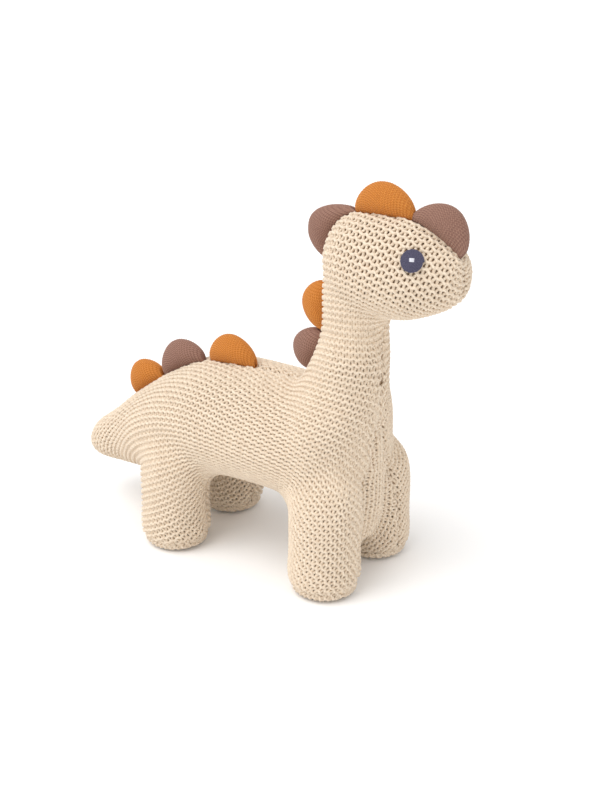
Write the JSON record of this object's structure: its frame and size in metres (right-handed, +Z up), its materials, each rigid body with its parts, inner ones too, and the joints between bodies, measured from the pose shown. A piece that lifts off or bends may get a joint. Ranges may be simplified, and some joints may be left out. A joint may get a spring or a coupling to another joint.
{
  "type": "stuffed dinosaur",
  "caption": "Knitted long-necked stuffed dinosaur standing on stub legs, with stuffed half-moon spikes along its back and embroidered eyes.",
  "frame": {"origin": "on the ground, below the middle of the bounding box", "axes": "+X towards the snout, +Y to the animal's left, +Z up"},
  "size_m": [0.2707, 0.1038, 0.2469],
  "materials": {
    "cream_knit": "chunky cotton knit, matte",
    "mustard_knit": "fine stockinette, matte",
    "mauve_knit": "fine stockinette, matte",
    "navy_eye": "dense embroidery thread",
    "pale_thread": "embroidery thread",
    "filling": "polyester fibre"
  },
  "bodies": {
    "front_left_leg": {"front_left_leg_inner_panel": "cream_knit", "front_left_leg_outer_panel": "cream_knit", "front_left_leg_stuffing": "filling", "front_left_sole": "cream_knit"},
    "front_right_leg": {"front_right_leg_inner_panel": "cream_knit", "front_right_leg_outer_panel": "cream_knit", "front_right_leg_stuffing": "filling", "front_right_sole": "cream_knit"},
    "head": {"head_left_panel": "cream_knit", "head_right_panel": "cream_knit", "head_stuffing": "filling", "left_eye": "navy_eye", "left_eye_glint": "pale_thread", "right_eye": "navy_eye", "right_eye_glint": "pale_thread"},
    "neck": {"neck_left_panel": "cream_knit", "neck_right_panel": "cream_knit", "neck_stuffing": "filling"},
    "rear_left_leg": {"rear_left_leg_inner_panel": "cream_knit", "rear_left_leg_outer_panel": "cream_knit", "rear_left_leg_stuffing": "filling", "rear_left_sole": "cream_knit"},
    "rear_right_leg": {"rear_right_leg_inner_panel": "cream_knit", "rear_right_leg_outer_panel": "cream_knit", "rear_right_leg_stuffing": "filling", "rear_right_sole": "cream_knit"},
    "spike_1": {"spike_1_cover": "mustard_knit", "spike_1_stuffing": "filling"},
    "spike_2": {"spike_2_cover": "mauve_knit", "spike_2_stuffing": "filling"},
    "spike_3": {"spike_3_cover": "mustard_knit", "spike_3_stuffing": "filling"},
    "spike_4": {"spike_4_cover": "mauve_knit", "spike_4_stuffing": "filling"},
    "spike_5": {"spike_5_cover": "mustard_knit", "spike_5_stuffing": "filling"},
    "spike_6": {"spike_6_cover": "mauve_knit", "spike_6_stuffing": "filling"},
    "spike_7": {"spike_7_cover": "mustard_knit", "spike_7_stuffing": "filling"},
    "spike_8": {"spike_8_cover": "mauve_knit", "spike_8_stuffing": "filling"},
    "tail": {"tail_gusset": "cream_knit", "tail_left_panel": "cream_knit", "tail_right_panel": "cream_knit", "tail_stuffing": "filling"},
    "torso": {"torso_gusset": "cream_knit", "torso_left_panel": "cream_knit", "torso_right_panel": "cream_knit", "torso_stuffing": "filling"}
  },
  "joints": [
    {"name": "tail_wag", "type": "hinge", "parent": "torso", "child": "tail", "pos_m": [-0.096, 0, 0.053], "axis": [0, 0, 1], "range_deg": [-10, 10], "stiffness_Nm_per_rad": 0.3},
    {"name": "neck_bend", "type": "hinge", "parent": "torso", "child": "neck", "pos_m": [0.0585, 0, 0.121], "axis": [0, 1, 0], "range_deg": [-3, 14], "stiffness_Nm_per_rad": 2},
    {"name": "head_turn", "type": "hinge", "parent": "neck", "child": "head", "pos_m": [0.066, 0, 0.183], "axis": [0, 0, 1], "range_deg": [-25, 25], "stiffness_Nm_per_rad": 0.5},
    {"name": "front_left_leg_swing", "type": "hinge", "parent": "torso", "child": "front_left_leg", "pos_m": [0.0645, 0.0295, 0.056], "axis": [0, 1, 0], "range_deg": [-10, 10], "stiffness_Nm_per_rad": 3},
    {"name": "front_right_leg_swing", "type": "hinge", "parent": "torso", "child": "front_right_leg", "pos_m": [0.0645, -0.0295, 0.056], "axis": [0, 1, 0], "range_deg": [-10, 10], "stiffness_Nm_per_rad": 3},
    {"name": "rear_left_leg_swing", "type": "hinge", "parent": "torso", "child": "rear_left_leg", "pos_m": [-0.0455, 0.0295, 0.056], "axis": [0, 1, 0], "range_deg": [-10, 10], "stiffness_Nm_per_rad": 3},
    {"name": "rear_right_leg_swing", "type": "hinge", "parent": "torso", "child": "rear_right_leg", "pos_m": [-0.0455, -0.0295, 0.056], "axis": [0, 1, 0], "range_deg": [-10, 10], "stiffness_Nm_per_rad": 3},
    {"name": "spike_1_flop", "type": "hinge", "parent": "torso", "child": "spike_1", "pos_m": [-0.0868, 0, 0.08902], "axis": [0.7964, 0, 0.6048], "range_deg": [-15, 15], "stiffness_Nm_per_rad": 0.05},
    {"name": "spike_2_flop", "type": "hinge", "parent": "torso", "child": "spike_2", "pos_m": [-0.0584, 0, 0.10773], "axis": [0.8944, 0, 0.4472], "range_deg": [-15, 15], "stiffness_Nm_per_rad": 0.05},
    {"name": "spike_3_flop", "type": "hinge", "parent": "torso", "child": "spike_3", "pos_m": [-0.0203, 0, 0.11943], "axis": [0.9874, 0, 0.158], "range_deg": [-15, 15], "stiffness_Nm_per_rad": 0.05},
    {"name": "spike_4_flop", "type": "hinge", "parent": "neck", "child": "spike_4", "pos_m": [0.0385, 0, 0.13784], "axis": [0.32, 0, 0.9474], "range_deg": [-15, 15], "stiffness_Nm_per_rad": 0.05},
    {"name": "spike_5_flop", "type": "hinge", "parent": "neck", "child": "spike_5", "pos_m": [0.04436, 0, 0.16598], "axis": [0.0709, 0, 0.9975], "range_deg": [-15, 15], "stiffness_Nm_per_rad": 0.05},
    {"name": "spike_6_flop", "type": "hinge", "parent": "head", "child": "spike_6", "pos_m": [0.0487, 0, 0.21242], "axis": [0.2616, 0, 0.9652], "range_deg": [-15, 15], "stiffness_Nm_per_rad": 0.05},
    {"name": "spike_7_flop", "type": "hinge", "parent": "head", "child": "spike_7", "pos_m": [0.08304, 0, 0.22976], "axis": [0.9981, 0, 0.0614], "range_deg": [-15, 15], "stiffness_Nm_per_rad": 0.05},
    {"name": "spike_8_flop", "type": "hinge", "parent": "head", "child": "spike_8", "pos_m": [0.11821, 0, 0.22328], "axis": [0.8587, 0, -0.5124], "range_deg": [-15, 15], "stiffness_Nm_per_rad": 0.05}
  ]
}
